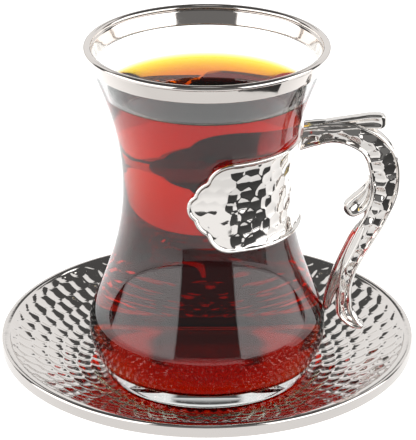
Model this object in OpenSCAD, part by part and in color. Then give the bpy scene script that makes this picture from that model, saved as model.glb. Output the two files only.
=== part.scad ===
// A waisted glass of black tea with a steel rim band, held by a hammered plate
// with a cast S-shaped handle, standing on its hammered steel saucer.
// Frame: millimetres, +Z up, origin at the centre of the saucer's underside,
// handle toward +X. Heights of the glass, the tea and the holder are counted
// from the glass's foot, which stands on the saucer's sheet.

/* [Saucer] */
// Radius at the outer edge
saucer_r = 55; // [45:0.5:66]
// Height of the flat border's top above the table
saucer_h = 11.1; // [9:0.1:14]
// Thickness of the sheet
saucer_sheet = 0.8; // [0.6:0.1:1.2]
// Width of the smooth flat border
border_w = 2.3; // [1.8:0.1:4]
// Rounding of the border's outer corner
border_round = 1.1; // [0.9:0.1:1.6]
// Height of the turned-down edge
edge_drop = 3.4; // [2.5:0.1:5]
// Gap between the glass's foot and the start of the slope
well_margin = 1.4; // [0.5:0.1:4]
// How much the slope steepens outwards: 0 gives a plain cone
slope_bend = 0.3; // [0:0.05:0.6]

/* [Glass] */
// Height of the glass
glass_h = 90.3; // [75:0.1:110]
// Radius of the foot
foot_r = 27.2; // [23:0.1:29]
// Rounding of the foot's lower edge
foot_round = 1; // [0.4:0.1:1.5]
// Largest radius of the belly
bulge_r = 31.4; // [29:0.1:38]
// Height of the belly's largest radius
bulge_z = 13.8; // [12:0.1:17]
// Radius of the waist
waist_r = 22.1; // [18:0.1:27]
// Height of the waist
waist_z = 53; // [46:0.1:58]
// Outer radius at the rim
rim_r = 31; // [28:0.1:38]
// Lean of the wall at the rim, from the vertical
rim_lean = 15; // [5:1:25]
// Thickness of the wall
wall = 1.6; // [1.2:0.1:2.4]
// Thickness of the wall at the rim
rim_wall = 0.9; // [0.7:0.05:1.2]
// Thickness of the base
base_t = 4.4; // [3:0.1:6]

/* [Tea] */
// Depth of the tea's surface below the glass's rim
tea_below_rim = 11; // [8:0.1:30]

/* [Rim band] */
// Thickness of the band's sheet
band_t = 0.3; // [0.2:0.05:0.5]
// Film of cement between the band and the glass
band_gap = 0.05; // [0.02:0.01:0.1]
// Height of the band outside the glass
band_out_h = 3.8; // [2:0.1:6]
// Height of the band inside the glass
band_in_h = 4; // [2:0.1:6]
// Width of the rolled lip
lip_w = 2.3; // [2:0.1:3]
// Height of the rolled lip
lip_h = 1.6; // [1.2:0.05:2.4]

/* [Holder plate] */
// Height of the plate's middle above the waist
plate_lift = 2.15; // [-4:0.1:6]
// Half of the plate's height
plate_half_h = 12.4; // [10:0.05:15.5]
// Angle from the handle to where the straight edges end
plate_straight = 74.8; // [50:0.1:110]
// How much further round the glass the plate reaches at the back, in degrees
back_wing = 5.5; // [0:0.1:12]
// Thickness of the plate
plate_t = 1; // [0.8:0.05:1.6]
// Gap between the plate and the glass
plate_gap = 0.1; // [0.05:0.05:0.3]
// How far the lower edge stands off the glass
plate_flare = 0.7; // [0:0.1:1.5]
// Width of the raised border
bead_w = 1.2; // [0.8:0.1:2]
// Height of the raised border
bead_h = 0.35; // [0.2:0.05:0.8]
// Length of the scalloped end along the glass
scallop_len = 11.6; // [8:0.1:15]

/* [Handle] */
// Thickness of the casting
handle_t = 4.2; // [3.5:0.1:6.5]
// Thickness of the leaves and the prong
leaf_t = 3.6; // [2.8:0.1:4]
// Width of the smooth edge along the faces
edge_w = 1.1; // [0.8:0.1:1.5]
// Depth of the hammered faces below the edges
face_recess = 0.4; // [0.2:0.1:0.8]
// Joint line between the handle's foot and the plate
braze_gap = 0.05; // [0.03:0.01:0.2]
// Gap between the prong's tip and the belly of the glass
prong_gap = 0.3; // [0.2:0.05:1]

/* [Hidden] */
$fn = 120;

// Straight pieces in each curve of a turned outline
steps = 14;
plate_z = waist_z + plate_lift;
tea_z = glass_h - tea_below_rim;

// A point on a cubic curve, and the curve as points
function bez(p, t) = pow(1 - t, 3) * p[0] + 3 * t * pow(1 - t, 2) * p[1]
    + 3 * t * t * (1 - t) * p[2] + pow(t, 3) * p[3];
function curve(p, n = steps) = [for (i = [0:n]) bez(p, i / n)];
function tail(list, from = 1) = [for (i = [from:len(list) - 1]) list[i]];
function flip(list) = [for (i = [len(list) - 1:-1:0]) list[i]];
// Radius at a height on an outline of [radius, height] points that rises
function radius_at(outline, z) = lookup(z, [for (p = outline) [p[1], p[0]]]);

// ---- Glass outline: foot, belly, waist, rim -------------------------------
// Handles of the curves that join foot, belly, waist and rim
foot_rise = [4.4, 8.65];
bulge_below = 4.3;
bulge_above = 6.4;
waist_below = 21.9;
waist_above = 17.7;
rim_below = 9.4;
rim_dir = [sin(rim_lean), cos(rim_lean)];

foot_lean = 0.1;
foot_start = [foot_r + 2.5 * foot_lean, foot_round];
outer = concat(
    curve([foot_start, [foot_r, 0] + foot_rise, [bulge_r, bulge_z - bulge_below], [bulge_r, bulge_z]]),
    tail(curve([[bulge_r, bulge_z], [bulge_r, bulge_z + bulge_above],
        [waist_r, waist_z - waist_below], [waist_r, waist_z]], 2 * steps)),
    tail(curve([[waist_r, waist_z], [waist_r, waist_z + waist_above],
        [rim_r, glass_h] - rim_below * rim_dir, [rim_r, glass_h]], 2 * steps))
);
function glass_out(z) = radius_at(outer, z);
function wall_at(z) = z < waist_z ? wall
    : wall + (rim_wall - wall) * (z - waist_z) / (glass_h - waist_z);

// Inside of the glass: a flat-bottomed bowl whose round corner follows the foot
bowl_top = bulge_z - 2;
bowl_rise = 2.1;
corner_r = glass_out(base_t) - wall;
corner_end = [glass_out(base_t + bowl_rise) - wall + 0.3, base_t + bowl_rise];
bowl_flat = corner_r - 4.1;
join_gap = 0.3;
inner = concat(
    [[0, base_t]],
    curve([[bowl_flat, base_t], [corner_r, base_t], corner_end, [glass_out(bowl_top) - wall, bowl_top]]),
    [for (p = outer) if (p[1] > bowl_top + join_gap) [p[0] - wall_at(p[1]), p[1]]]
);
function glass_in(z) = radius_at(tail(inner, 2), z);

module on_saucer() {
    translate([0, 0, saucer_sheet]) children();
}

module glass() {
    foot_corner = [for (a = [0:30:60])
        [foot_r - foot_round + (foot_round + foot_lean) * sin(a), foot_round * (1 - cos(a))]];
    color([0.85, 0.9, 0.9, 0.35])
    on_saucer()
    rotate_extrude()
    polygon(concat([[0, 0]], foot_corner, outer, flip(inner)));
}

// The tea fills the bowl up to its level
level_gap = 0.02;
module tea() {
    level = [glass_in(tea_z), tea_z];
    color([0.5, 0.02, 0.05])
    on_saucer()
    rotate_extrude()
    polygon(concat([for (p = inner) if (p[1] < tea_z - level_gap) p], [level, [0, tea_z]]));
}

// The band is folded over the rim and ends in a rolled lip
lip_rise = 0.2;
module rim_band() {
    mid = rim_r - rim_wall / 2;
    top = glass_h + band_gap;
    centre = [mid, glass_h + lip_rise];
    n = 4;
    out_z = [for (i = [0:n]) glass_h - band_out_h * (1 - i / n)];
    in_z = [for (i = [0:n]) glass_h - band_in_h * (1 - i / n)];
    out_face = [for (z = out_z) [glass_out(z) + band_gap, z]];
    in_face = [for (z = in_z) [glass_in(z) - band_gap, z]];
    out_skin = [for (i = [0:n - 1]) out_face[i] + [band_t, 0]];
    in_skin = [for (i = [0:n - 1]) in_face[i] - [band_t, 0]];
    lip = [for (a = [-45:15:225]) centre + [lip_w * cos(a), lip_h * sin(a)] / 2];
    color([0.78, 0.77, 0.76])
    on_saucer()
    rotate_extrude()
    polygon(concat(
        out_skin, lip, flip(in_skin), in_face,
        [[mid - rim_wall / 2 - band_gap, top], [mid + rim_wall / 2 + band_gap, top]], flip(out_face)
    ));
}

// ---- Saucer ---------------------------------------------------------------
well_r = foot_r + well_margin;
slope_end = saucer_r - border_w;
slope_lean = 22;
fold = 0.2;
function slope(r) = let (t = (r - well_r) / (slope_end - well_r))
    (saucer_h - saucer_sheet) * ((1 - slope_bend) * t + slope_bend * t * t);

module saucer() {
    corner = [saucer_r - border_round, saucer_h - border_round];
    rows = [for (i = [0:steps]) well_r + (slope_end - well_r) * i / steps];
    drop = saucer_sheet / cos(slope_lean);
    top = concat(
        [[0, saucer_sheet]],
        [for (r = rows) [r, saucer_sheet + slope(r)]],
        [for (a = [90:-15:0]) corner + border_round * [cos(a), sin(a)]],
        [[saucer_r, saucer_h - edge_drop]]
    );
    under = concat(
        [[saucer_r - saucer_sheet, saucer_h - edge_drop]],
        [for (a = [0:15:90]) corner + (border_round - saucer_sheet) * [cos(a), sin(a)]],
        [[slope_end + fold, saucer_h - saucer_sheet]],
        flip([for (r = rows) if (r < slope_end) [r + fold, max(0, saucer_sheet + slope(r) - drop)]]),
        [[0, 0]]
    );
    color([0.8, 0.79, 0.78])
    rotate_extrude()
    polygon(concat(top, under));
}

// ---- Holder plate ---------------------------------------------------------
// The plate lies round the glass. Its ends are scalloped in three lobes, laid
// out by distance past the straight edge and height above the middle line.
lay_r = 24;
mm_to_deg = 180 / (PI * lay_r);
shoulder = [0, plate_half_h];
upper_notch = [scallop_len * 0.55, plate_half_h * 0.6];
lower_notch = [scallop_len * 0.84, plate_half_h * 0.28];
tip = [scallop_len, 0.15];
lobe_steps = 5;
lobe_bulge = [1.4, 0.6, 0.5];

function lobe(a, b, bulge) = let (d = b - a, n = [-d[1], d[0]] / norm(d))
    [for (i = [0:lobe_steps - 1]) let (t = i / lobe_steps) a + d * t + n * 4 * bulge * t * (1 - t)];
scallop = concat(lobe(shoulder, upper_notch, lobe_bulge[0]), lobe(upper_notch, lower_notch, lobe_bulge[1]),
    lobe(lower_notch, tip, lobe_bulge[2]), [tip]);

// Columns of the plate as [angle from the handle, half height, distance past the straight edge]
bend_steps = 32;
straight_cols = [for (i = [0:bend_steps]) let (a = plate_straight * (2 * i / bend_steps - 1))
    [a + back_wing * max(0, a) / plate_straight, plate_half_h, 0]];
end_cols = [for (p = tail(scallop)) [plate_straight + p[0] * mm_to_deg, p[1], p[0]]];
cols = concat([for (c = flip(end_cols)) [-c[0], c[1], c[2]]], straight_cols,
    [for (c = end_cols) [c[0] + back_wing, c[1], c[2]]]);

mid_rows = 3;
function half_rows(h) = let (b = min(bead_w, 0.75 * h))
    concat([for (i = [0:mid_rows - 1]) (h - b) * i / mid_rows], [for (s = [1, 0.8, 0.5, 0.2, 0]) h - s * b]);
function rows(h) = let (half = half_rows(h)) concat([for (i = [len(half) - 1:-1:1]) -half[i]], half);
row_n = 2 * (mid_rows + 4) + 1;

// Raised border: a half round whose height depends on the distance from the outline
function from_edge(c, z) = min(concat([c[1] - abs(z)],
    [for (p = scallop) norm([p[0] - c[2], p[1] - abs(z)])], [c[2] > 0 ? 99 : plate_half_h - abs(z)]));
function bead(d) = d >= bead_w ? 0 : bead_h * pow(sin(180 * d / bead_w), 0.7);
function plate_back(z) = glass_out(plate_z + z) + plate_gap
    + plate_flare * pow(max(0, -z / plate_half_h), 2);
function plate_face(c, z) = plate_back(z) + plate_t + bead(from_edge(c, z));
function around(r, a, z) = [r * cos(a), r * sin(a), plate_z + z];

module holder_plate() {
    n = len(cols);
    m = row_n;
    face = [for (c = cols) for (z = rows(c[1])) around(plate_face(c, z), c[0], z)];
    back = [for (c = cols) for (z = rows(c[1])) around(plate_back(z), c[0], z)];
    k = n * m;
    faces = concat(
        [for (i = [0:n - 2], j = [0:m - 2])
            [i * m + j, i * m + j + 1, (i + 1) * m + j + 1, (i + 1) * m + j]],
        [for (i = [0:n - 2], j = [0:m - 2])
            [k + i * m + j, k + (i + 1) * m + j, k + (i + 1) * m + j + 1, k + i * m + j + 1]],
        [for (i = [0:n - 2]) [i * m, (i + 1) * m, k + (i + 1) * m, k + i * m]],
        [for (i = [0:n - 2]) let (q = i * m + m - 1) [q, k + q, k + q + m, q + m]],
        [for (j = [0:m - 2]) [j, k + j, k + j + 1, j + 1]],
        [for (j = [0:m - 2]) let (q = (n - 1) * m + j) [q, q + 1, k + q + 1, k + q]]
    );
    color([0.78, 0.77, 0.76])
    on_saucer()
    polyhedron(concat(face, back), faces, convexity = 6);
}

// ---- Handle ---------------------------------------------------------------
// Stations are [distance outward, height above the plate's middle, width].
// Outward distances are counted from a line that leans from the plate's face
// at the handle's foot to the belly of the glass where the prong ends.
root_up = 10.55;
prong_up = -38.15;
root_x = plate_back(root_up) + plate_t;
belly_x = glass_out(plate_z + prong_up) + prong_gap;
function lean(z) = root_x + (belly_x - root_x) * (root_up - z) / (root_up - prong_up);

stem = [[-1.3, 10.4, 6.8], [3, 11.4, 6.3], [8.1, 12.1, 5.6], [12.8, 11.6, 6.2], [17.5, 9.3, 7],
    [19.7, 6.4, 7.7], [20.6, 2.6, 8.1], [20.5, -1.8, 7.6], [19.7, -5.9, 6.8], [16.6, -12.2, 6.1],
    [13.2, -17.4, 5.9], [9.6, -23.2, 5.3], [7.5, -27.9, 4.4], [6.2, -32.6, 3.7], [5.5, -37.1, 4],
    [5.6, -40, 4.1], [7.5, -42.8, 3], [9.3, -43.8, 1.4]];
stem_face = [for (i = [1:14]) stem[i]];
thumb_leaf = [[3.7, 13.1, 1.8], [9, 13.9, 2.3], [14.1, 14.4, 2.8], [18.1, 14.8, 3.5],
    [21, 14.8, 3.5]];
inner_leaf = [[16.9, -0.6, 1], [15.8, -3.8, 2.6], [14.4, -6.4, 4.4], [12.8, -8.2, 5.2],
    [11, -9.5, 4.7]];
prong = [[10.6, -18.5, 3.6], [7.7, -23.5, 3.4], [5.6, -27.1, 3], [3.8, -30.8, 2.8],
    [2.3, -34.1, 2.5], [1.1, -37, 2], [0.7, -38.2, 1.4]];

// A smooth line through the stations
function blend(a, b, c, d, t) = 0.5 * (2 * b + (c - a) * t + (2 * a - 5 * b + 4 * c - d) * t * t
    + (3 * b - a - 3 * c + d) * t * t * t);
function spine(s, n = 4) = let (p = [for (q = s) [lean(q[1]) + q[0], plate_z + q[1], q[2]]], k = len(p) - 1)
    concat([for (i = [0:k - 1], j = [0:n - 1])
        blend(p[max(i - 1, 0)], p[i], p[i + 1], p[min(i + 2, k)], j / n)], [p[k]]);

// The outline of a strap: both sides of its spine, and a round end
function strap(s, inset = 0) = let (
    p = spine(s),
    k = len(p) - 1,
    dir = [for (i = [0:k]) let (d = p[min(i + 1, k)] - p[max(i - 1, 0)]) [d[0], d[1]] / norm([d[0], d[1]])],
    half = [for (q = p) max(0.1, q[2] / 2 - inset)],
    left = [for (i = [0:k]) [p[i][0] - dir[i][1] * half[i], p[i][1] + dir[i][0] * half[i]]],
    right = [for (i = [0:k]) [p[i][0] + dir[i][1] * half[i], p[i][1] - dir[i][0] * half[i]]],
    a0 = atan2(dir[k][1], dir[k][0]),
    cap = [for (a = [60:-30:-60]) [p[k][0], p[k][1]] + half[k] * [cos(a0 + a), sin(a0 + a)]]
) concat(left, cap, flip(right));

module casting(outline, t) {
    rotate([90, 0, 0])
    linear_extrude(t, center = true)
    polygon(outline);
}

// Both faces of a strap are sunk between its smooth edges
module sunk_faces(outline, t, depth) {
    for (side = [-1, 1])
        translate([0, side * t / 2, 0])
        casting(outline, 2 * depth);
}

module plate_clearance() {
    c = [0, plate_half_h, 0];
    over = 6;
    side = [for (z = rows(plate_half_h)) [plate_face(c, z) + braze_gap, plate_z + z]];
    rotate_extrude()
    polygon(concat([[0, plate_z - plate_half_h]], side,
        [[plate_face(c, plate_half_h) + braze_gap, plate_z + plate_half_h + over],
        [0, plate_z + plate_half_h + over]]));
}

module handle() {
    color([0.8, 0.79, 0.78])
    on_saucer()
    difference() {
        union() {
            difference() {
                casting(strap(stem), handle_t);
                sunk_faces(strap(stem_face, edge_w), handle_t, face_recess);
            }
            casting(strap(prong), leaf_t);
            difference() {
                union() {
                    casting(strap(thumb_leaf), leaf_t);
                    casting(strap(inner_leaf), leaf_t);
                }
                sunk_faces(strap(tail(thumb_leaf, 2), edge_w), leaf_t, face_recess);
                sunk_faces(strap(tail(inner_leaf), edge_w), leaf_t, face_recess);
            }
        }
        plate_clearance();
    }
}

saucer();
glass();
tea();
rim_band();
holder_plate();
handle();
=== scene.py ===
# %% [markdown]
# # A glass of black tea in a hammered metal holder
# Six pieces make the object: a pressed steel saucer, a waisted glass, the tea in it, a steel band
# folded over the glass's rim, a hammered plate that wraps the waist, and a cast handle that is
# soldered to the plate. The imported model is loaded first, because it fixes where each piece is and
# how big it is. Each piece here stands for the plain solid of the same name.

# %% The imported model
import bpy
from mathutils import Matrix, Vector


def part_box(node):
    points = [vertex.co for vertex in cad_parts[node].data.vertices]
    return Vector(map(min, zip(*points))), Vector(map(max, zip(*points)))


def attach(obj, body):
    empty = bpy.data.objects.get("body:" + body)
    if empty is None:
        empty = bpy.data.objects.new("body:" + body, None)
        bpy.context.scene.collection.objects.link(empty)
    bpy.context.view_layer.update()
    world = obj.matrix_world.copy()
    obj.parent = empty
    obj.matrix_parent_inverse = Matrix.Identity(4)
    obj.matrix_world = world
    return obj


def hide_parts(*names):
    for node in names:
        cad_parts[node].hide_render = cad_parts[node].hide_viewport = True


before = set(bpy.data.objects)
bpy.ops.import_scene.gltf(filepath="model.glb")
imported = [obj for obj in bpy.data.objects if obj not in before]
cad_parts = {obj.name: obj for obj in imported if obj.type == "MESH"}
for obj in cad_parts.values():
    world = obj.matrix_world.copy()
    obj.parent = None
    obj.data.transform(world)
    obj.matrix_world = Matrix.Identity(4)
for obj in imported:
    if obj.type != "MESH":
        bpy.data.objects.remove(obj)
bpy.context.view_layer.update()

import math
import random
from bisect import bisect_left

import bmesh
import bpy
from mathutils import Vector, kdtree

print("packed nodes:", sorted(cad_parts))

# %% [markdown]
# ## Helpers
# Most of the pieces start as a profile, a list of (radius, height) points in millimetres. Its long
# bends are cubic Bezier curves, because four points describe one smooth bend, and its small
# rounded corners are arcs. A profile could also be drawn by hand as a long list of points, but
# then no size in it could be changed alone.

# %% Units and curves
MM = 0.001


def bezier(points, steps):
    """Points along one cubic curve."""
    a, b, c, d = (Vector(p) for p in points)
    made = []
    for i in range(steps + 1):
        t = i / steps
        left = 1 - t
        made.append(tuple(left ** 3 * a + 3 * t * left ** 2 * b + 3 * t * t * left * c + t ** 3 * d))
    return made


def arc(centre, radius, start_deg, end_deg, steps):
    """Points along an arc."""
    made = []
    for i in range(steps + 1):
        a = math.radians(start_deg + (end_deg - start_deg) * i / steps)
        made.append((centre[0] + radius * math.cos(a), centre[1] + radius * math.sin(a)))
    return made


def radius_at(outline, height):
    """The radius of a rising outline at a height."""
    for (r0, z0), (r1, z1) in zip(outline, outline[1:]):
        if z0 <= height <= z1:
            return r0 + (r1 - r0) * (height - z0) / max(z1 - z0, 1e-9)
    return outline[0][0] if height < outline[0][1] else outline[-1][0]


def smooth(low, high, x):
    """A smooth step from 0 at low to 1 at high. low may be the greater one."""
    t = min(1.0, max(0.0, (x - low) / (high - low)))
    return t * t * (3 - 2 * t)


print("a quarter circle in 3 steps:", [(round(x, 2), round(y, 2)) for x, y in arc((0, 0), 1, 0, 90, 3)])

# %% [markdown]
# ## Turning and finishing
# Glass, saucer and band are round, so they are turned, as on a lathe: the spin operator sweeps the
# profile round the axis. It leaves doubled points at the seam and the poles, so these are merged,
# and the normals are recalculated, because a spin can come out inside out.


# %% The lathe and the finished object
def turned(outline, steps, closed=False):
    """Spins an outline of (radius, height) points in millimetres into a closed solid."""
    bm = bmesh.new()
    verts = [bm.verts.new((r * MM, 0, z * MM)) for r, z in outline]
    edges = [bm.edges.new(pair) for pair in zip(verts, verts[1:])]
    if closed:
        edges.append(bm.edges.new((verts[-1], verts[0])))
    bmesh.ops.spin(bm, geom=verts + edges, cent=(0, 0, 0), axis=(0, 0, 1), angle=math.tau,
                   steps=steps, use_merge=True)
    bmesh.ops.remove_doubles(bm, verts=bm.verts, dist=1e-7)
    bmesh.ops.dissolve_degenerate(bm, edges=bm.edges, dist=1e-8)
    bmesh.ops.recalc_face_normals(bm, faces=bm.faces)
    return bm


def finished(name, bm, sharp_deg=35):
    """Turns a bmesh into an object with smooth faces and crisp corners."""
    mesh = bpy.data.meshes.new(name)
    bm.to_mesh(mesh)
    bm.free()
    mesh.shade_smooth()
    mesh.set_sharp_from_angle(angle=math.radians(sharp_deg))
    piece = bpy.data.objects.new(name, mesh)
    bpy.context.scene.collection.objects.link(piece)
    triangles = sum(len(face.vertices) - 2 for face in mesh.polygons)
    print(f"{name}: {len(mesh.vertices)} vertices, {triangles} triangles")
    return piece


trial = turned([(0, 0), (1, 0), (1, 1), (0, 1)], 12)
print("a trial disc is closed:", all(edge.is_manifold for edge in trial.edges))
trial.free()

# %% [markdown]
# ## Camera
# The object is seen from the front, 24 degrees above the table, from about 0.64 m with a long
# lens, so that the ellipses of the rim and the saucer keep their true proportions.

# %% The camera
CAMERA_PITCH = math.radians(24.0)
CAMERA_DISTANCE = 0.6415
CAMERA_ASIDE = 0.00026
LOOK_AT_HEIGHT = 0.04267

camera_data = bpy.data.cameras.new("camera")
camera_data.lens = 199.2
camera_data.sensor_width = 36
camera = bpy.data.objects.new("camera", camera_data)
camera.location = (CAMERA_ASIDE, -CAMERA_DISTANCE * math.cos(CAMERA_PITCH),
                   LOOK_AT_HEIGHT + CAMERA_DISTANCE * math.sin(CAMERA_PITCH))
camera.rotation_euler = (math.pi / 2 - CAMERA_PITCH, 0, 0)
bpy.context.scene.collection.objects.link(camera)
bpy.context.scene.camera = camera
print("camera at", [round(c, 4) for c in camera.location])

# %% [markdown]
# ## Colours and nodes
# Colours are chosen as sRGB hex values, the way a colour picker shows them, and turned to the
# linear values that the renderer works with. One helper adds any node with its settings and links.


# %% Colour and node helpers
def linear(hex_code):
    """Linear RGBA of an sRGB hex colour."""
    channels = [int(hex_code[i:i + 2], 16) / 255 for i in (1, 3, 5)]
    return [c / 12.92 if c <= 0.04045 else ((c + 0.055) / 1.055) ** 2.4 for c in channels] + [1.0]


def add(tree, kind, inputs=None, **settings):
    """Adds one node. inputs gives a socket a value or another node's output."""
    made = tree.nodes.new(kind)
    for name, value in settings.items():
        setattr(made, name, value)
    for key, value in (inputs or {}).items():
        if isinstance(value, bpy.types.NodeSocket):
            tree.links.new(value, made.inputs[key])
        else:
            made.inputs[key].default_value = value
    return made


def new_material(name, principled):
    """A material whose Principled shader has these constants on its own sockets."""
    material = bpy.data.materials.new(name)
    material.use_nodes = True
    tree = material.node_tree
    tree.nodes.clear()
    shader = add(tree, "ShaderNodeBsdfPrincipled", principled)
    out = add(tree, "ShaderNodeOutputMaterial", {"Surface": shader.outputs["BSDF"]})
    print("material:", name)
    return material, tree, shader, out


print("mid grey #808080 in linear light:", [round(c, 3) for c in linear("#808080")])

# %% [markdown]
# ## Metal finishes
# The saucer and the rim band are polished stainless steel. The plate and the handle are zinc
# castings, polished and plated with nickel and chrome. Both mirror their surroundings, so their
# detail is in the shape of the metal: what the material adds is a faint haze from polishing, a
# little stronger in some places, and ripples about a hundredth of a millimetre high.


# %% Polished metals
def polished_metal(name, hex_code, roughness, haze_mm, ripple_mm, ripple_height_mm):
    """Polished metal with patches of haze and faint ripples, both sized in millimetres."""
    material, tree, shader, _ = new_material(name, {
        "Base Color": linear(hex_code), "Metallic": 1.0, "Roughness": roughness})
    place = add(tree, "ShaderNodeTexCoord")
    haze = add(tree, "ShaderNodeTexNoise", {
        "Vector": place.outputs["Object"], "Scale": 1 / (haze_mm * MM), "Detail": 3.0, "Roughness": 0.6})
    rough = add(tree, "ShaderNodeMapRange", {
        "Value": haze.outputs["Fac"], "From Min": 0.35, "From Max": 0.7,
        "To Min": roughness * 0.7, "To Max": roughness * 1.6})
    tree.links.new(rough.outputs["Result"], shader.inputs["Roughness"])
    ripple = add(tree, "ShaderNodeTexNoise", {
        "Vector": place.outputs["Object"], "Scale": 1 / (ripple_mm * MM), "Detail": 1.0})
    bump = add(tree, "ShaderNodeBump", {
        "Height": ripple.outputs["Fac"], "Strength": 1.0, "Distance": ripple_height_mm * MM})
    tree.links.new(bump.outputs["Normal"], shader.inputs["Normal"])
    return material


# Sheet steel, pressed and polished: a warm grey mirror with the softest reflections of the three.
saucer_metal = polished_metal("polished_stainless_steel_pressed", "#E3DEDA", 0.07, 9, 2.4, 0.012)
# Steel strip, rolled and polished: the same mirror, a little darker and cleaner.
rim_metal = polished_metal("polished_stainless_steel_rolled", "#E0DAD5", 0.06, 6, 3.0, 0.012)
# Cast zinc under nickel and chrome: a brighter mirror, with the casting's finer ripples.
plated_metal = polished_metal("chrome_plated_zinc_cast", "#E6E2DE", 0.05, 7, 1.6, 0.010)

# %% [markdown]
# ## Glass and tea
# The glass is blown soda-lime glass: clear, smooth, with an index of refraction of about 1.52.
# Where tea wets its inner face, glass and liquid bend light almost alike, so that face must not
# mirror as glass does in air: a second glass material there has a black specular tint.
#
# Black tea is water that absorbs blue light most and red least, so a thin layer is yellow, a
# thicker one orange and a full glass deep red. Volume absorption does exactly that: its density
# times (1 - colour) is how strongly each colour fades per metre.

# %% Glass and tea materials
glass_settings = {
    "Base Color": linear("#FCFEFD"), "Roughness": 0.0, "IOR": 1.52, "Transmission Weight": 1.0}
# Blown glass: its surface is fire-polished, so what shows is clear and its reflections are sharp.
glass_clear = new_material("soda_lime_glass_blown", glass_settings)[0]
# The same glass under tea: clear, without the silvery mirror of a face in air.
glass_wetted = new_material("soda_lime_glass_wetted_by_tea", {
    **glass_settings, "Specular Tint": linear("#000000")})[0]
# Brewed tea, clear and strained: no cloud in it, only colour that deepens with its thickness.
tea_black, tea_tree, _, tea_out = new_material("black_tea_brewed", {
    "Base Color": linear("#FFFFFF"), "Roughness": 0.0, "IOR": 1.333, "Transmission Weight": 1.0})
absorption = add(tea_tree, "ShaderNodeVolumeAbsorption", {
    "Color": linear("#FCEF00"), "Density": 900.0})
tea_tree.links.new(absorption.outputs["Volume"], tea_out.inputs["Volume"])

# %% [markdown]
# ## Saucer
# The saucer is pressed from steel sheet: a flat middle, a slope covered in rings of shallow
# hammer marks, a smooth border and a turned-down edge. Its profile is spun, and the marks are
# pressed in afterwards. Just inside the border the slope dips a little, so that the border stands
# up as a fine step and catches a line of light.

# %% Saucer sizes
SAUCER_R, _, SAUCER_H = (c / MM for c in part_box("saucer")[1])
SAUCER_SHEET = 0.8
BORDER_W = 2.3
BORDER_ROUND = 0.8
EDGE_DROP = 3.4
WELL_R = 28.6
SLOPE_END = SAUCER_R - BORDER_W
SLOPE_BEND = 0.3
DIP = 0.35
DIP_W = 1.2
print(f"saucer: {SAUCER_R:.1f} mm radius, {SAUCER_H:.1f} mm high")


def slope_rise(r):
    """Height of the smooth slope above the sheet's flat middle."""
    t = max(0.0, (r - WELL_R) / (SLOPE_END - WELL_R))
    return (SAUCER_H - SAUCER_SHEET) * ((1 - SLOPE_BEND) * t + SLOPE_BEND * t * t)


def slope_top(r):
    """Height of the slope's top face, with its dip before the border."""
    return SAUCER_SHEET + slope_rise(r) - DIP * smooth(SLOPE_END - DIP_W, SLOPE_END, r)


# %% Saucer mesh
SLOPE_ROWS = 62
UNDER_EVERY = 7
UNDER_OUT = 0.25
UNDER_DROP = SAUCER_SHEET / math.cos(math.radians(22))
corner = (SAUCER_R - BORDER_ROUND, SAUCER_H - BORDER_ROUND)
well_rows = [(WELL_R * i / 30, SAUCER_SHEET) for i in range(31)]
slope_radii = [WELL_R + (SLOPE_END - WELL_R) * i / SLOPE_ROWS for i in range(1, SLOPE_ROWS + 1)]
slope_rows = [(r, slope_top(r)) for r in slope_radii]
under_rows = [(r + UNDER_OUT, z - UNDER_DROP) for r, z in slope_rows[UNDER_EVERY - 1::UNDER_EVERY]]
skirt_low = SAUCER_H - EDGE_DROP
hem = SAUCER_SHEET / 2
saucer_outline = (
    well_rows + slope_rows
    + [(SLOPE_END + 0.12, SAUCER_H - 0.12), (SLOPE_END + 0.4, SAUCER_H)]
    + arc(corner, BORDER_ROUND, 90, 0, 8)
    + arc((SAUCER_R - hem, skirt_low + hem), hem, 0, -180, 6)
    + arc(corner, BORDER_ROUND - SAUCER_SHEET, 0, 90, 3)
    + under_rows[::-1]
    + [(WELL_R - 0.4, 0), (WELL_R * 0.5, 0), (0, 0)]
)
saucer_bm = turned(saucer_outline, 600)
print(f"saucer: {len(saucer_outline)} points in its profile")

# %% [markdown]
# ### The saucer's hammer marks
# A mark is a shallow bowl round a seed point, and a ridge stands where two bowls meet. A bump
# texture could only shade that; moving the mesh's points makes true facets that mirror the room.
# The seeds lie in rings, each ring half a step on from the last. Outside the flat middle every
# ring has the same number of marks, so they grow outwards, as on a saucer that is hammered by turns.

# %% Seeds in rings
MARK_RING = 3.9
MARK_ALONG = 4.8
MARKS_A_RING = 60


def seed_tree(points):
    """A lookup that finds the nearest of these flat points."""
    tree = kdtree.KDTree(len(points))
    for i, (x, y) in enumerate(points):
        tree.insert((x, y, 0), i)
    tree.balance()
    return tree


marks = random.Random(7)
seeds = []
ring = 0
while MARK_RING * (ring + 0.5) < SLOPE_END:
    r_ring = MARK_RING * (ring + 0.5)
    on_slope = r_ring > WELL_R - MARK_RING
    count = MARKS_A_RING if on_slope else max(3, round(math.tau * r_ring / MARK_ALONG))
    for i in range(count):
        a = math.tau * (i + 0.5 * (ring % 2) + marks.uniform(-0.08, 0.08)) / count
        r_seed = r_ring + marks.uniform(-0.3, 0.3)
        seeds.append((r_seed * math.cos(a), r_seed * math.sin(a), marks.uniform(0.85, 1.15)))
    ring += 1
saucer_seeds = seed_tree([seed[:2] for seed in seeds])
print(f"saucer: {len(seeds)} hammer marks in {ring} rings")

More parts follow.
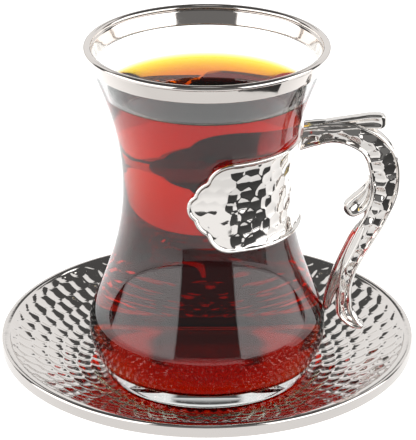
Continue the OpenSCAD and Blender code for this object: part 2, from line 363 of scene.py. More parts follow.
# %% Pressing the marks
MARK_DEPTH = 0.7
MARK_REACH = 0.59
for v in saucer_bm.verts:
    x, y, z = (c / MM for c in v.co)
    r = math.hypot(x, y)
    surface = SAUCER_SHEET + slope_rise(r)
    if r < SLOPE_END and abs(z - surface) < 0.4 and z > SAUCER_SHEET - 0.01:
        _, near, gap = saucer_seeds.find((x, y, 0))
        reach = MARK_REACH * min(MARK_ALONG, 1.15 * math.tau * max(r, WELL_R) / MARKS_A_RING)
        bowl = max(0.0, 1 - (gap / reach) ** 2)
        edge_fade = smooth(SLOPE_END - 0.2, SLOPE_END - 1.2, r)
        depth = MARK_DEPTH * reach / (MARK_REACH * MARK_ALONG) * seeds[near][2]
        v.co.z -= depth * bowl * edge_fade * MM
saucer = finished("saucer", saucer_bm, 50)
saucer.data.materials.append(saucer_metal)

# %% [markdown]
# ## Glass
# The glass is blown: a thick base, a full belly, a narrow waist and a flared rim, with a wall that
# thins towards the rim. The outside is three smooth curves, and the inside keeps the wall's
# thickness. Its foot is slightly hollow underneath, so it stands on a ring.

# %% Glass outline
glass_low, glass_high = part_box("glass")
GLASS_H = (glass_high[2] - glass_low[2]) / MM
BULGE_R = glass_high[0] / MM
FOOT_R = 27.2
FOOT_ROUND = 1.0
BULGE_Z = 13.8
WAIST_R = 22.1
WAIST_Z = 53.0
RIM_R = 31.0
RIM_LEAN = math.radians(15)
RIM_PULL = 9.4
foot_end = (FOOT_R + 0.25, FOOT_ROUND)
belly = (BULGE_R, BULGE_Z)
waist = (WAIST_R, WAIST_Z)
rim_pull = (RIM_R - RIM_PULL * math.sin(RIM_LEAN), GLASS_H - RIM_PULL * math.cos(RIM_LEAN))
outer = (
    bezier([foot_end, (FOOT_R + 4.4, 8.65), (BULGE_R, BULGE_Z - 4.3), belly], 24)
    + bezier([belly, (BULGE_R, BULGE_Z + 6.4), (WAIST_R, WAIST_Z - 21.9), waist], 48)[1:]
    + bezier([waist, (WAIST_R, WAIST_Z + 17.7), rim_pull, (RIM_R, GLASS_H)], 48)[1:]
)
print(f"glass: {GLASS_H:.1f} mm high, {len(outer)} points outside")

# %% Inside of the glass
WALL = 1.6
RIM_WALL = 0.9
BASE_T = 4.4
BOWL_TOP = BULGE_Z - 2


def wall_at(z):
    """Thickness of the wall, measured level."""
    if z < WAIST_Z:
        return WALL
    return WALL + (RIM_WALL - WALL) * (z - WAIST_Z) / (GLASS_H - WAIST_Z)


corner_r = radius_at(outer, BASE_T) - WALL
bowl = bezier([
    (corner_r - 4.1, BASE_T), (corner_r, BASE_T),
    (radius_at(outer, BASE_T + 2.1) - WALL + 0.3, BASE_T + 2.1),
    (radius_at(outer, BOWL_TOP) - WALL, BOWL_TOP)], 24)
inner = [(0, BASE_T)] + bowl + [(r - wall_at(z), z) for r, z in outer if z > BOWL_TOP + 0.3]
print(f"glass: {len(inner)} points inside, {inner[-1][0]:.1f} mm radius at the mouth")

# %% Glass mesh
UNDER_HOLLOW = 0.35
RING_R = 25.0
GLASS_STEPS = 192
LIFT = 0.01
under = [(RING_R * i / 8, UNDER_HOLLOW * (1 - (i / 8) ** 2)) for i in range(9)]
foot_corner = arc((FOOT_R - FOOT_ROUND + 0.1, FOOT_ROUND), FOOT_ROUND, -90, -15, 6)
glass_outline = under + foot_corner + outer + [(RIM_R - RIM_WALL / 2, GLASS_H + 0.03)] + inner[::-1]
glass = finished("glass", turned([(r, z + SAUCER_SHEET + LIFT) for r, z in glass_outline], GLASS_STEPS), 60)
glass.data.materials.append(glass_clear)
glass.data.materials.append(glass_wetted)

# %% [markdown]
# ## Tea
# The tea fills the glass up to its level and climbs a little at the wall, because water wets
# glass. Its sides reach a few hundredths of a millimetre into the glass: with a gap of air there,
# light would bend twice and show a false silver skin. The glass's inner faces below the line where
# the tea ends take the wetted glass.

# %% Tea sizes
INTO_WALL = 0.06
CLIMB = 0.9
CLIMB_REACH = 1.5
TEA_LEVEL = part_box("tea")[1][2] / MM - SAUCER_SHEET - 0.6
contact_z = TEA_LEVEL + CLIMB
contact_r = radius_at(inner[1:], contact_z)
print(f"tea: level {TEA_LEVEL:.1f} mm above the glass's foot, {contact_r:.1f} mm radius at the wall")

# %% Wetted faces of the glass
wetted = 0
for face in glass.data.polygons:
    x, y, z = face.center / MM
    height = z - SAUCER_SHEET - LIFT
    inside = math.hypot(x, y) < radius_at(outer, height) - 0.6 * wall_at(height)
    if inside and BASE_T - 0.1 < height < contact_z:
        face.material_index = 1
        wetted += 1
print("glass:", wetted, "faces wetted by tea")

# %% Tea mesh
tea_side = [(r + INTO_WALL, z - (INTO_WALL if z < BASE_T + 0.5 else 0))
            for r, z in inner[1:] if z < contact_z - 0.4]
top_radii = [contact_r * math.sin(math.radians(90 * i / 40)) for i in range(41)]
tea_top = [(r + INTO_WALL * (r / contact_r) ** 8,
            TEA_LEVEL + CLIMB * math.exp((r - contact_r) / CLIMB_REACH)) for r in reversed(top_radii)]
tea_outline = [(0, BASE_T - INTO_WALL)] + tea_side + tea_top
tea = finished("tea", turned([(r, z + SAUCER_SHEET + LIFT) for r, z in tea_outline], GLASS_STEPS), 60)
tea.data.materials.append(tea_black)

# %% [markdown]
# ## Rim band
# A strip of thin steel is folded over the rim and rolled to a round lip on top. It is spun from a
# closed outline that goes up the outside, over the lip, down the inside and back along the glass,
# and each free edge is hemmed to a small round.

# %% Rim band outline
BAND_T = 0.3
BAND_GAP = 0.05
BAND_OUT_H = 3.8
BAND_IN_H = 4.0
LIP_W = 2.0
LIP_H = 1.6
LIP_OUT = 0.15
LIP_RISE = 0.2
mid = RIM_R - RIM_WALL / 2
over_rim = RIM_WALL / 2 + BAND_GAP


def band_face(outline, height, offset, steps=10):
    """Points up one side of the rim, set off from the glass."""
    zs = [GLASS_H - height * (1 - i / steps) for i in range(steps)]
    return [(radius_at(outline, z) + offset, z) for z in zs]


def hemmed(corner, side):
    """The round hem at the low end of a band face. side is 1 or -1 across the sheet."""
    return arc((corner[0] + side * BAND_T / 2, corner[1]), BAND_T / 2, -170, -10, 5)


out_skin = band_face(outer, BAND_OUT_H, BAND_GAP + BAND_T)
in_skin = band_face(inner[1:], BAND_IN_H, -BAND_GAP - BAND_T)
out_back = band_face(outer, BAND_OUT_H, BAND_GAP)
in_back = band_face(inner[1:], BAND_IN_H, -BAND_GAP)
lip = []
for a in range(-35, 216, 10):
    across, up = math.cos(math.radians(a)), math.sin(math.radians(a))
    lip.append((mid + LIP_OUT + LIP_W / 2 * across, GLASS_H + LIP_RISE + LIP_H / 2 * up))
print(f"rim band: lip {LIP_W} mm wide, skirt {BAND_OUT_H} mm outside and {BAND_IN_H} mm inside")

# %% Rim band mesh
band_outline = (hemmed(out_skin[0], -1) + out_skin[1:] + lip + in_skin[:0:-1] + hemmed(in_skin[0], 1)
                + in_back[1:] + [(mid - over_rim, GLASS_H + BAND_GAP), (mid + over_rim, GLASS_H + BAND_GAP)]
                + out_back[:0:-1])
band_outline = [(r, z + SAUCER_SHEET) for r, z in band_outline]
rim_band = finished("rim_band", turned(band_outline, 256, closed=True), 50)
rim_band.data.materials.append(rim_metal)

# %% [markdown]
# ## Holder plate
# The plate is a cast strip bent round the waist of the glass, a little further round at the back
# than at the front. Its two ends are cut in three scallops, a raised border follows its outline,
# and the field inside is hammered. It starts as a flat grid. Each column of the grid has an angle
# from the handle, a half height, and a distance past the plate's straight part.

# %% Plate outline
PLATE_Z = WAIST_Z + 2.15
PLATE_HALF_H = 12.4
PLATE_STRAIGHT = 74.8
BACK_WING = 5.5
SCALLOP = 11.6
LAY_R = 24.0
MM_TO_DEG = 180 / (math.pi * LAY_R)
STRAIGHT_N = 280
corners = [(0, PLATE_HALF_H), (SCALLOP * 0.55, PLATE_HALF_H * 0.6),
           (SCALLOP * 0.84, PLATE_HALF_H * 0.28), (SCALLOP, 0.15)]
bulges = [1.4, 0.6, 0.5]
scallops = []
for (ax, ay), (bx, by), bulge in zip(corners, corners[1:], bulges):
    dx, dy = bx - ax, by - ay
    length = math.hypot(dx, dy)
    for i in range(14):
        t = i / 14
        push = 4 * bulge * t * (1 - t) / length
        scallops.append((ax + dx * t - dy * push, ay + dy * t + dx * push))
scallops.append(corners[-1])
angles = [PLATE_STRAIGHT * (2 * i / STRAIGHT_N - 1) for i in range(STRAIGHT_N + 1)]
past = [(PLATE_STRAIGHT + d * MM_TO_DEG, h, d) for d, h in scallops[1:]]
columns = ([(-a, h, d) for a, h, d in reversed(past)]
           + [(a + BACK_WING * max(a, 0) / PLATE_STRAIGHT, PLATE_HALF_H, 0.0) for a in angles]
           + [(a + BACK_WING, h, d) for a, h, d in past])
print(f"plate: {len(columns)} columns, from {columns[0][0]:.1f} to {columns[-1][0]:.1f} degrees")

# %% [markdown]
# ### The plate's hammer marks and border
# The marks are smaller and shallower than the saucer's and lie less evenly, because a casting's
# pattern is worked by hand. They get calmer towards the ends. The border is a half-round bead, so
# at every point its height depends only on how far the nearest edge is.

# %% Marks on the plate
PLATE_MARK = 3.7
marks = random.Random(21)
plate_seeds = []
for row in range(-5, 6):
    across = -PLATE_STRAIGHT / MM_TO_DEG - SCALLOP - PLATE_MARK * (0.5 * (row % 2))
    while across < PLATE_STRAIGHT / MM_TO_DEG + SCALLOP + PLATE_MARK:
        plate_seeds.append((
            across + marks.uniform(-0.75, 0.75),
            row * PLATE_MARK * 0.87 + marks.uniform(-0.65, 0.65),
            marks.uniform(0.8, 1.2)))
        across += PLATE_MARK
mark_tree = seed_tree([seed[:2] for seed in plate_seeds])
edge_tree = seed_tree([
    (ax + (bx - ax) * k / 8, ay + (by - ay) * k / 8)
    for (ax, ay), (bx, by) in zip(scallops, scallops[1:]) for k in range(8)])
print(f"plate: {len(plate_seeds)} hammer marks")

# %% Faces of the plate
PLATE_T = 1.0
PLATE_GAP = 0.1
PLATE_FLARE = 0.7
PLATE_MARK_DEPTH = 0.27
BEAD_W = 1.0
BEAD_H = 0.35


def plate_back(z, angle=0.0):
    """Radius of the inner face at a height above the plate's middle and an angle from the handle."""
    down = max(0.0, -z / PLATE_HALF_H)
    follows = radius_at(outer, PLATE_Z + z) + PLATE_FLARE * down ** 5
    middle = radius_at(outer, PLATE_Z)
    straight = middle + (radius_at(outer, PLATE_Z - PLATE_HALF_H) - middle) * down
    share = smooth(48, 72, abs(angle)) if z < 0 else 0.0
    return PLATE_GAP + follows + (straight - follows) * share


def plate_relief(column, z):
    """Height of the border and the hammer marks over the plate's plain face."""
    angle, half, past_end = column
    edge = min(half - abs(z), PLATE_HALF_H - abs(z))
    if past_end > 0:
        edge = edge_tree.find((past_end, abs(z), 0))[2]
        if past_end < 1.5:
            edge = min(edge, PLATE_HALF_H + 0.3 - abs(z))
    edge = max(0.0, edge)
    bead = BEAD_H * math.sin(math.pi * min(edge / BEAD_W, 1)) ** 0.7 if edge < BEAD_W else 0.0
    field = smooth(BEAD_W - 0.25, BEAD_W + 0.45, edge)
    _, near, gap = mark_tree.find((angle / MM_TO_DEG, z, 0))
    bowl = max(0.0, 1 - (gap / (0.62 * PLATE_MARK)) ** 2)
    calm = 1 - 0.65 * smooth(64, 84, abs(angle))
    return bead - field * calm * PLATE_MARK_DEPTH * plate_seeds[near][2] * bowl


print(f"plate: inner radius {plate_back(0):.2f} mm in the middle, {plate_back(-PLATE_HALF_H):.2f} mm below")

# %% [markdown]
# ### Bending the plate
# Each point of the grid moves to its column's angle and to its own radius, which gives the bent
# front face with all its relief. Extruding that face makes the back and the walls, and the first
# face's points are then drawn in to the inner radius.

# %% Front face of the plate
PLATE_ROWS = 84
plate_bm = bmesh.new()
bmesh.ops.create_grid(plate_bm, x_segments=len(columns) - 1, y_segments=PLATE_ROWS, size=0.5)
for v in plate_bm.verts:
    column = columns[round((v.co.x + 0.5) * (len(columns) - 1))]
    share = 2 * v.co.y
    share = math.copysign(1 - (1 - abs(share)) ** 1.25, share)
    z = column[1] * share
    r = plate_back(z, column[0]) + PLATE_T + plate_relief(column, z)
    a = math.radians(column[0])
    v.co = Vector((r * math.cos(a), r * math.sin(a), PLATE_Z + SAUCER_SHEET + z)) * MM
bmesh.ops.recalc_face_normals(plate_bm, faces=plate_bm.faces)
middle_face = max(plate_bm.faces, key=lambda f: f.calc_center_median().x)
if middle_face.normal.x < 0:
    bmesh.ops.reverse_faces(plate_bm, faces=plate_bm.faces[:])
print("plate: front face of", len(plate_bm.faces), "faces")

# %% Back and walls of the plate
first_face = list(plate_bm.verts)
bmesh.ops.extrude_face_region(plate_bm, geom=plate_bm.faces[:])
for v in first_face:
    x, y, z = (c / MM for c in v.co)
    back = plate_back(z - PLATE_Z - SAUCER_SHEET, math.degrees(math.atan2(y, x)))
    shrink = back / math.hypot(x, y)
    v.co.x *= shrink
    v.co.y *= shrink
bmesh.ops.recalc_face_normals(plate_bm, faces=plate_bm.faces)
holder_plate = finished("holder_plate", plate_bm, 50)
holder_plate.data.materials.append(plated_metal)

# %% [markdown]
# ## Handle
# The handle is one casting: an S-shaped stem with hammered faces between smooth raised edges, a
# leaf along its top that ends in a thumb rest, a curled leaf inside the arch, and a prong that
# leaves the stem and reaches down to the belly of the glass. Each is a strap along a smooth line.
# A station of a line is (outwards, up, width) in millimetres, outwards counted from a line that
# leans from the plate's top to the belly.

# %% Handle lines
ROOT_UP = 10.55
PRONG_UP = -38.15
root_x = plate_back(ROOT_UP) + PLATE_T
belly_x = radius_at(outer, PLATE_Z + PRONG_UP) + 0.3
STEM = [
    (-1.3, 10.4, 6.8), (3, 11.4, 6.3), (8.1, 12.1, 5.6), (12.8, 11.6, 6.2), (17.5, 9.3, 7),
    (19.7, 6.4, 7.7), (20.6, 2.6, 8.1), (20.5, -1.8, 7.6), (19.7, -5.9, 6.8), (16.6, -12.2, 6.1),
    (13.2, -17.4, 5.9), (9.6, -23.2, 5.3), (7.5, -27.9, 4.4), (6.2, -32.6, 3.7), (5.5, -37.1, 4),
    (5.6, -40, 4.1), (7.5, -42.8, 3), (9.3, -43.8, 1.4)]
THUMB_LEAF = [(-1.3, 12.9, 1.5), (3.7, 13.4, 2), (9, 13.9, 2.9), (14.1, 14.5, 3.2),
              (18.1, 14.9, 3.6), (21, 14.9, 3.7)]
INNER_LEAF = [(16.9, -0.6, 1), (15.8, -3.8, 2.6), (14.4, -6.4, 4.4), (12.8, -8.2, 5.2), (11, -9.5, 4.7)]
PRONG = [(12.9, -14.6, 2.2), (10.6, -18.5, 3.4), (7.7, -23.5, 3.4), (5.6, -27.1, 3),
         (3.8, -30.8, 2.8), (2.3, -34.1, 2.5), (1.1, -37, 2), (0.7, -38.2, 1.4)]


def lean(up):
    """Distance from the axis of the line that outward distances are counted from."""
    return root_x + (belly_x - root_x) * (ROOT_UP - up) / (ROOT_UP - PRONG_UP)


def spine(stations, per_span=24):
    """A smooth line through the stations as (x, z, width) points."""
    p = [Vector((lean(up) + out, PLATE_Z + SAUCER_SHEET + up, width)) for out, up, width in stations]
    made = []
    for i in range(len(p) - 1):
        a, b, c, d = p[max(i - 1, 0)], p[i], p[i + 1], p[min(i + 2, len(p) - 1)]
        for j in range(per_span):
            t = j / per_span
            made.append(0.5 * (2 * b + (c - a) * t + (2 * a - 5 * b + 4 * c - d) * t * t
                               + (3 * b - a - 3 * c + d) * t ** 3))
    return made + [p[-1]]


stem_line = spine(STEM)
print(f"handle: reaches {max(p.x for p in stem_line) - root_x:.1f} mm out from the plate's top")

# %% [markdown]
# ### A strap along a line
# A strap is a grid: its columns are places along the line, and its rows go once round the section,
# over both faces and both edges. The section shrinks to a round end. A curve with a bevel object
# would be shorter to write, but it could not carry a relief on its two faces.


# %% Places along a strap
def strap_rings(stations, pitch=0.33, end_steps=8):
    """Rings (x, z, direction, half width, scale of the thickness, distance along), and the length."""
    line = spine(stations)
    lengths = [0.0]
    for a, b in zip(line, line[1:]):
        lengths.append(lengths[-1] + math.hypot(b.x - a.x, b.y - a.y))
    total = lengths[-1]

    def at(s):
        i = min(max(bisect_left(lengths, s), 1), len(lengths) - 1)
        t = (s - lengths[i - 1]) / max(lengths[i] - lengths[i - 1], 1e-9)
        return line[i - 1].lerp(line[i], t)

    rings = []
    count = max(8, round(total / pitch))
    for k in range(count + 1):
        s = total * k / count
        here, ahead, behind = at(s), at(min(s + 0.4, total)), at(max(s - 0.4, 0))
        d = Vector((ahead.x - behind.x, ahead.y - behind.y)).normalized()
        rings.append((here.x, here.y, d, here.z / 2, 1.0, s))

    def end(place, k, way, reach_share, taper, thinnest, s):
        x, z, d, half = place[:4]
        turn = math.radians(90 * k / end_steps)
        reach = half * math.sin(turn) * reach_share * way
        size = math.cos(turn)
        return (x + d.x * reach, z + d.y * reach, d, max(half * size, 1e-5),
                max(size ** taper, thinnest), s + max(reach, 0.0))

    head = [end(rings[0], k, -1, 0.4, 0.5, 1e-4, 0.0) for k in range(end_steps, 0, -1)]
    tail = [end(rings[-1], k, 1, 1.0, 0.75, 0.0, total) for k in range(1, end_steps + 1)]
    return head + rings + tail, total + line[-1].z / 2


print("handle: the stem has", len(strap_rings(STEM)[0]), "rings")

# %% The strap's mesh
FACE_N = 34
SIDE_N = 6
section = []
for side in (-1, 1):
    for i in range(FACE_N + 1):
        section.append((side * -math.cos(math.pi * i / FACE_N), side))
    for i in range(1, SIDE_N):
        section.append((side, side * (1 - 2 * i / SIDE_N)))


def strap(stations, thick, relief, edge_round, side_bulge):
    """A strap with rounded edges. relief(s, across, half, length) lowers its two faces."""
    rings, length = strap_rings(stations)
    bm = bmesh.new()
    bmesh.ops.create_grid(bm, x_segments=len(rings) - 1, y_segments=len(section), size=0.5)
    for v in bm.verts:
        x, z, d, half, size, s = rings[round((v.co.x + 0.5) * (len(rings) - 1))]
        a, face = section[round((v.co.y + 0.5) * len(section)) % len(section)]
        across = a * half
        t = thick / 2 * size
        rounding = min(edge_round, half, t)
        if abs(face) == 1:
            edge = half - abs(across)
            depth = rounding - math.sqrt(max(0.0, rounding ** 2 - max(0.0, rounding - edge) ** 2))
            y = face * (t - depth - relief(s, across, half, length) * size)
        else:
            y = face * (t - rounding)
            across *= 1 + side_bulge * (1 - face * face) / max(half, 0.6)
        v.co = Vector((x - d.y * across, y, z + d.x * across)) * MM
    bmesh.ops.remove_doubles(bm, verts=bm.verts, dist=2e-6)
    bmesh.ops.dissolve_degenerate(bm, edges=bm.edges, dist=1e-8)
    bmesh.ops.holes_fill(bm, edges=bm.edges, sides=0)
    bmesh.ops.recalc_face_normals(bm, faces=bm.faces)
    return bm


print("handle:", len(section), "points round a section")

# %% [markdown]
# ### Reliefs of the casting
# The stem's faces slope like a low roof from a ridge along their middle, with one row of hammer
# marks on either side, inside smooth raised edges. The top leaf has a shallow groove, the curled
# leaf a deep pointed one, and the prong two fine ones. A relief is a function that says how far the
# face lies below its plain height at a place.

# %% Hammer marks on the stem
STEM_MARK = 4.0
ROW_APART = 2.2
SEED_APART = 3.4
marks = random.Random(5)
stem_seeds = []
s = 0.0
while s < 110:
    for column, a in enumerate((-0.42, 0.42)):
        stem_seeds.append((
            s + STEM_MARK * 0.5 * column + marks.uniform(-0.8, 0.8),
            (a + marks.uniform(-0.2, 0.2)) * SEED_APART,
            marks.uniform(0.75, 1.25)))
    s += STEM_MARK
stem_tree = seed_tree([seed[:2] for seed in stem_seeds])
print(f"stem: {len(stem_seeds)} hammer marks")

# %% The four reliefs
EDGE_W = 1.05
RIDGE = 0.6
STEM_MARK_DEPTH = 0.45
STEM_MARK_R = 2.5


def stem_relief(s, across, half, length):
    """Two rows of hammer marks that slope from a middle ridge down to smooth raised edges."""
    field = smooth(EDGE_W - 0.45, EDGE_W + 0.05, half - abs(across))
    open_half = max(half - EDGE_W, 0.3)
    _, near, gap = stem_tree.find((s, across / open_half * ROW_APART, 0))
    bowl = max(0.0, 1 - (gap / STEM_MARK_R) ** 2)
    roof = RIDGE * min(1.0, abs(across) / open_half) * min(1.0, open_half / 2)
    return field * (0.08 + roof + STEM_MARK_DEPTH * stem_seeds[near][2] * bowl)


def thumb_relief(s, across, half, length):
    """A shallow groove that ends before the leaf's round tip."""
    field = smooth(0.5, max(half - 0.2, 0.8), half - abs(across))
    return field * 0.55 * smooth(0.0, 3.0, s) * smooth(length - 1.2, length - 3.5, s)


def leaf_relief(s, across, half, length):
    """A deep pointed groove inside a thick round rim, and a plain round tip."""
    field = smooth(0.75, max(half * 0.8, 1.0), half - abs(across))
    return field * 1.3 * smooth(0.0, 4.0, s) * smooth(length - 1.0, length - 4.5, s)


def prong_relief(s, across, half, length):
    """Two fine grooves along the prong."""
    return 0.22 * (0.5 - 0.5 * math.cos(3 * math.pi * across / max(half, 0.5)))


print(f"stem: marks up to {0.08 + RIDGE + STEM_MARK_DEPTH * 1.25:.2f} mm below the edges")

# %% The casting
HANDLE_T = 4.2
THUMB_T = 3.2
LEAF_T = 3.6
handle_bm = bmesh.new()
for name, *shape in [
        ("stem", STEM, HANDLE_T, stem_relief, 0.7, 0.2),
        ("thumb leaf", THUMB_LEAF, THUMB_T, thumb_relief, 0.4, 0.05),
        ("inner leaf", INNER_LEAF, LEAF_T, leaf_relief, 0.6, 0.2),
        ("prong", PRONG, LEAF_T, prong_relief, 0.7, 0.2)]:
    part_bm = strap(*shape)
    print(f"{name}: {len(part_bm.faces)} faces, closed: {all(e.is_manifold for e in part_bm.edges)}")
    part_mesh = bpy.data.meshes.new("part")
    part_bm.to_mesh(part_mesh)
    part_bm.free()
    handle_bm.from_mesh(part_mesh)
    bpy.data.meshes.remove(part_mesh)

# %% The casting's seat on the plate
SEAT = 0.3
for v in handle_bm.verts:
    x, y, z = (c / MM for c in v.co)
    up = z - PLATE_Z - SAUCER_SHEET
    if up > -PLATE_HALF_H:
        face_r = plate_back(min(up, PLATE_HALF_H)) + PLATE_T + SEAT
        if math.hypot(x, y) < face_r:
            v.co.x = math.sqrt(face_r ** 2 - y * y) * MM
handle = finished("handle", handle_bm, 40)
handle.data.materials.append(plated_metal)

# %% [markdown]
# ## Which piece stands for which solid
# Each piece replaces its plain solid and rides on the model's one body. The list gives each piece,
# its solid and the record's slot, though the slot is not used here.

# %% Ride and replace
for piece, node, slot in [
        (saucer, "saucer", "saucer_steel"), (glass, "glass", "clear_glass"), (tea, "tea", "black_tea"),
        (rim_band, "rim_band", "rim_steel"), (holder_plate, "holder_plate", "holder_metal"),
        (handle, "handle", "handle_metal")]:
    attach(piece, "root")
    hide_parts(node)
    low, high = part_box(node)
    spots = [v.co for v in piece.data.vertices]
    print(piece.name, "box against its solid, mm:",
          [round((min(spot[i] for spot in spots) - low[i]) / MM, 2) for i in range(3)],
          [round((max(spot[i] for spot in spots) - high[i]) / MM, 2) for i in range(3)])

# %% [markdown]
# ## Studio
# Polished metal and glass show little but what is round them, so the studio matters as much as
# the materials. A white sweep fills the back and rises higher at its two sides, two soft boxes
# stand at the front left and front right, a small soft light hangs right overhead, and the ceiling
# and the space behind the camera are dark. The world shader paints these as soft-edged panels by
# direction: azimuth counts from the front towards the handle's side, elevation from the horizon.

# %% Directions in the world shader
scene = bpy.context.scene
world = bpy.data.worlds.new("studio")
scene.world = world
world.use_nodes = True
sky = world.node_tree
sky.nodes.clear()
toward = add(sky, "ShaderNodeTexCoord")
axes = add(sky, "ShaderNodeSeparateXYZ", {"Vector": toward.outputs["Generated"]})
to_front = add(sky, "ShaderNodeMath", {0: axes.outputs["Y"], 1: -1.0}, operation="MULTIPLY")
turn = add(sky, "ShaderNodeMath", {0: axes.outputs["X"], 1: to_front.outputs[0]}, operation="ARCTAN2")
azimuth = add(sky, "ShaderNodeMath", {0: turn.outputs[0]}, operation="DEGREES")
rise = add(sky, "ShaderNodeMath", {0: axes.outputs["Z"]}, operation="ARCSINE")
elevation = add(sky, "ShaderNodeMath", {0: rise.outputs[0]}, operation="DEGREES")


def panel(az, el, radiance, soft):
    """One soft-edged panel between two azimuths and two elevations, in degrees."""
    light = radiance
    for angle, (start, end) in ((azimuth, az), (elevation, el)):
        for low, high, at_low in ((start - soft, start, 0.0), (end, end + soft, 1.0)):
            edge = add(sky, "ShaderNodeMapRange", {
                "Value": angle.outputs[0], "From Min": low, "From Max": high,
                "To Min": at_low, "To Max": 1.0 - at_low}, interpolation_type="SMOOTHSTEP")
            light = add(sky, "ShaderNodeMath", {
                0: edge.outputs["Result"], 1: light}, operation="MULTIPLY").outputs[0]
    return light


print("world: direction nodes ready,", len(sky.nodes))

# %% Studio panels
DARK = 0.08
SWEEP = 0.95
SWEEP_BELOW = 1.1
SOFT_BOX = 2.2
CAMERA_WALL = 0.18
OVERHEAD = 0.9
SWEEP_TOP = (5, 27)
SIDE_TOP = (5, 41)
BELOW = (-100, -3)
BOX_EL = (-2, 44)
panels = [
    ((-190, -128), SWEEP_TOP, SWEEP, 2.0), ((128, 190), SWEEP_TOP, SWEEP, 2.0),
    ((-162, -128), SIDE_TOP, SWEEP, 6.0), ((128, 162), SIDE_TOP, SWEEP, 6.0),
    ((-190, -124), BELOW, SWEEP_BELOW, 2.0), ((124, 190), BELOW, SWEEP_BELOW, 2.0),
    ((-104, -32), BOX_EL, SOFT_BOX, 2.0), ((33, 108), BOX_EL, SOFT_BOX, 2.0),
    ((-32, 32), BOX_EL, CAMERA_WALL, 2.0), ((-190, 190), (85, 100), OVERHEAD, 4.0)]
light = DARK
for az, el, radiance, soft in panels:
    light = add(sky, "ShaderNodeMath", {
        0: panel(az, el, radiance, soft), 1: light}, operation="MAXIMUM").outputs[0]
background = add(sky, "ShaderNodeBackground", {"Color": light, "Strength": 1.0})
add(sky, "ShaderNodeOutputWorld", {"Surface": background.outputs["Background"]})
world.cycles.sampling_method = "MANUAL"
world.cycles.sample_map_resolution = 1024
print("world:", len(panels), "panels")

# %% [markdown]
# ## Floor
# The floor is a pale sweep that is lit until it is almost white: most of its brightness is its own
# glow, and the rest is studio light, so that a faint shadow still grounds the saucer. Only the
# camera sees it. Reflections get a table top of their own, because a floor that is white to the
# horizon would leave no dark shape in the metal.

# %% The floor
floor_bm = bmesh.new()
bmesh.ops.create_grid(floor_bm, x_segments=1, y_segments=1, size=6.0)
bmesh.ops.translate(floor_bm, verts=floor_bm.verts, vec=(0, 0, -0.00005))
floor = finished("floor", floor_bm)
# White background paper, smooth and matt.
floor.data.materials.append(new_material("white_sweep_paper", {
    "Base Color": linear("#E8E8E8"), "Roughness": 0.9,
    "Emission Color": linear("#FFFFFF"), "Emission Strength": 0.8})[0])
floor.visible_glossy = False
floor.visible_transmission = False

# %% [markdown]
# ## Table top
# This is what the metal and the glass mirror below the horizon: a round white table. Its light is
# painted in as a glow: brighter behind the object, where the sweep would light it, brighter at its
# two sides, under the soft boxes, and a little brighter close in front of the saucer. It glows by
# itself, so that it needs no lamp, and the camera never sees it.

# %% Glow of the table top
TABLE_GLOW = 0.88
# A table top whose light is painted in as a glow, brighter where more of the studio's light would fall on
# it.
top_painted_light, top_tree, top_shader, _ = new_material("table_top_painted_light", {
    "Base Color": linear("#000000"), "Roughness": 0.9, "Specular IOR Level": 0.0,
    "Emission Color": linear("#FFFFFF")})
place = add(top_tree, "ShaderNodeTexCoord")
axes = add(top_tree, "ShaderNodeSeparateXYZ", {"Vector": place.outputs["Object"]})
aside = add(top_tree, "ShaderNodeMath", {0: axes.outputs["X"]}, operation="ABSOLUTE")
glow = TABLE_GLOW
for along, start, end, at_start, at_end in [
        (axes.outputs["Y"], -0.05, 0.12, TABLE_GLOW, 1.55),
        (axes.outputs["Y"], -0.13, -0.095, 1.08, TABLE_GLOW),
        (aside.outputs[0], 0.1, 0.3, TABLE_GLOW, 1.45)]:
    change = add(top_tree, "ShaderNodeMapRange", {
        "Value": along, "From Min": start, "From Max": end, "To Min": at_start, "To Max": at_end})
    glow = add(top_tree, "ShaderNodeMath", {
        0: change.outputs["Result"], 1: glow}, operation="MAXIMUM").outputs[0]
top_tree.links.new(glow, top_shader.inputs["Emission Strength"])
print("table top: glow from", TABLE_GLOW, "upwards")

# %% Table top mesh
top_bm = bmesh.new()
bmesh.ops.create_circle(top_bm, cap_ends=True, segments=96, radius=0.6)
bmesh.ops.translate(top_bm, verts=top_bm.verts, vec=(0, 0, -0.0001))
table_top = finished("table_top", top_bm)
table_top.data.materials.append(top_painted_light)
table_top.visible_camera = False
table_top.visible_diffuse = False
table_top.visible_shadow = False

# %% [markdown]
# ## Backdrop
# The world shader is mostly dark, and the camera must still see plain white behind the object. A
# large white ball round the whole scene does that. Only the camera sees it, so it lights nothing
# and shows in no reflection.

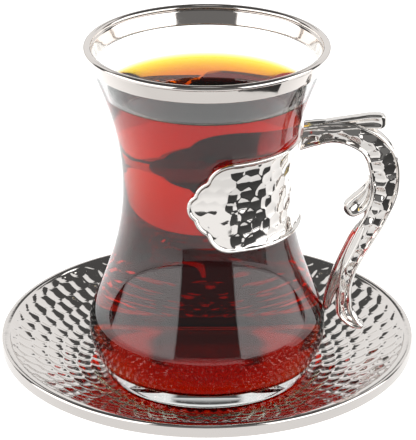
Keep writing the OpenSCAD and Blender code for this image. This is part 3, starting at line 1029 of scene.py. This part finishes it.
# %% The backdrop
sweep_bm = bmesh.new()
bmesh.ops.create_uvsphere(sweep_bm, u_segments=48, v_segments=24, radius=5.0)
sweep = finished("backdrop", sweep_bm)
# Background paper that is lit to plain white.
sweep.data.materials.append(new_material("white_backdrop_paper", {
    "Base Color": linear("#000000"), "Roughness": 0.9, "Specular IOR Level": 0.0,
    "Emission Color": linear("#FFFFFF"), "Emission Strength": 1.0})[0])
sweep.visible_glossy = False
sweep.visible_transmission = False
sweep.visible_diffuse = False
sweep.visible_shadow = False

# %% [markdown]
# ## Dark cards
# In a product studio, black cards on a white table draw dark shapes into shiny metal. One card at
# the front right gives the plate its dark field and the handle its black facets, and one further
# out at the front keeps the middle of the belly dark between its two bright reflections.

# %% The dark cards
# Black card: matt, and seen only in reflections.
card_paper = new_material("black_card", {"Base Color": linear("#383838"), "Roughness": 0.9})[0]
for name, az, near, far in [
        ("dark_card_right", (30, 76), 0.1, 0.44), ("dark_card_front", (-30, 30), 0.26, 0.58)]:
    card_bm = bmesh.new()
    bmesh.ops.create_grid(card_bm, x_segments=24, y_segments=1, size=0.5)
    for v in card_bm.verts:
        angle = math.radians(az[0] + (az[1] - az[0]) * (v.co.x + 0.5))
        out = near + (far - near) * (v.co.y + 0.5)
        v.co = Vector((out * math.sin(angle), -out * math.cos(angle), 0.001))
    card = finished(name, card_bm)
    card.data.materials.append(card_paper)
    card.visible_camera = False
    card.visible_diffuse = False
    card.visible_transmission = False
    card.visible_shadow = False

# %% [markdown]
# ## Light paths and colour
# Light crosses many faces on its way through a glass of tea and back, so it gets many bounces, and
# caustics stay on, because most of the red glow low in the glass is light that the glass bends.
# The Standard view keeps white white and the hex colours as they were chosen.

# %% Light paths and view
scene.view_settings.view_transform = "Standard"
scene.cycles.use_denoising = True
scene.cycles.max_bounces = 32
scene.cycles.transmission_bounces = 28
scene.cycles.glossy_bounces = 12
scene.cycles.volume_bounces = 0
scene.cycles.caustics_reflective = True
scene.cycles.caustics_refractive = True
scene.cycles.blur_glossy = 0.3
print("light paths: up to", scene.cycles.max_bounces, "bounces")
